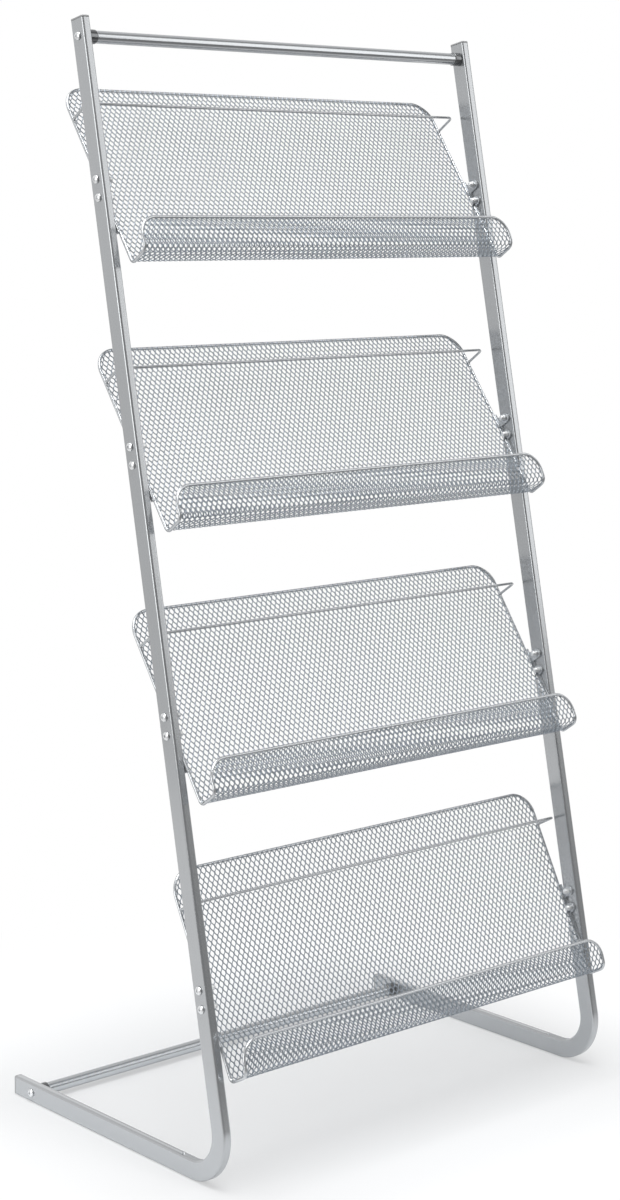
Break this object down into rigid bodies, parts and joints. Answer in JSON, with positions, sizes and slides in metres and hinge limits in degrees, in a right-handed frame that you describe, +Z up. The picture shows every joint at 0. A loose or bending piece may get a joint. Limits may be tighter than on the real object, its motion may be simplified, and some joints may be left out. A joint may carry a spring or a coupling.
{
  "type": "periodical display rack",
  "caption": "Free-standing periodical rack: silver tube rails bent into floor legs carry inclined expanded-metal trays, each with a front lip and a wire bail, between round crossbars.",
  "frame": {"origin": "on the floor, in the middle of the bounding box's footprint", "axes": "+X to the right as seen from the front, +Y to the back, +Z up"},
  "size_m": [0.6724, 0.4682, 1.4125],
  "materials": {
    "frame_paint": "satin silver powder coat",
    "tray_paint": "satin silver powder coat on mesh and wire",
    "ferrule_plastic": "gloss black",
    "plug_plastic": "satin grey",
    "bright_zinc": "bright zinc plate"
  },
  "bodies": {
    "root": {"rail_left": "frame_paint", "rail_top_plug_left": "plug_plastic", "leg_end_plug_left": "plug_plastic", "rail_right": "frame_paint", "rail_top_plug_right": "plug_plastic", "leg_end_plug_right": "plug_plastic", "top_crossbar": "frame_paint", "top_ferrule_left": "ferrule_plastic", "top_bar_screw_left": "bright_zinc", "top_ferrule_right": "ferrule_plastic", "top_bar_screw_right": "bright_zinc", "base_crossbar": "frame_paint", "base_ferrule_left": "ferrule_plastic", "base_bar_screw_left": "bright_zinc", "base_ferrule_right": "ferrule_plastic", "base_bar_screw_right": "bright_zinc", "tray_1_mesh": "tray_paint", "tray_1_rim": "tray_paint", "tray_1_bail": "tray_paint", "tray_1_screw_left_lower": "bright_zinc", "tray_1_nut_left_lower": "bright_zinc", "tray_1_screw_left_upper": "bright_zinc", "tray_1_nut_left_upper": "bright_zinc", "tray_1_screw_right_lower": "bright_zinc", "tray_1_nut_right_lower": "bright_zinc", "tray_1_screw_right_upper": "bright_zinc", "tray_1_nut_right_upper": "bright_zinc", "tray_2_mesh": "tray_paint", "tray_2_rim": "tray_paint", "tray_2_bail": "tray_paint", "tray_2_screw_left_lower": "bright_zinc", "tray_2_nut_left_lower": "bright_zinc", "tray_2_screw_left_upper": "bright_zinc", "tray_2_nut_left_upper": "bright_zinc", "tray_2_screw_right_lower": "bright_zinc", "tray_2_nut_right_lower": "bright_zinc", "tray_2_screw_right_upper": "bright_zinc", "tray_2_nut_right_upper": "bright_zinc", "tray_3_mesh": "tray_paint", "tray_3_rim": "tray_paint", "tray_3_bail": "tray_paint", "tray_3_screw_left_lower": "bright_zinc", "tray_3_nut_left_lower": "bright_zinc", "tray_3_screw_left_upper": "bright_zinc", "tray_3_nut_left_upper": "bright_zinc", "tray_3_screw_right_lower": "bright_zinc", "tray_3_nut_right_lower": "bright_zinc", "tray_3_screw_right_upper": "bright_zinc", "tray_3_nut_right_upper": "bright_zinc", "tray_4_mesh": "tray_paint", "tray_4_rim": "tray_paint", "tray_4_bail": "tray_paint", "tray_4_screw_left_lower": "bright_zinc", "tray_4_nut_left_lower": "bright_zinc", "tray_4_screw_left_upper": "bright_zinc", "tray_4_nut_left_upper": "bright_zinc", "tray_4_screw_right_lower": "bright_zinc", "tray_4_nut_right_lower": "bright_zinc", "tray_4_screw_right_upper": "bright_zinc", "tray_4_nut_right_upper": "bright_zinc"}
  },
  "joints": []
}
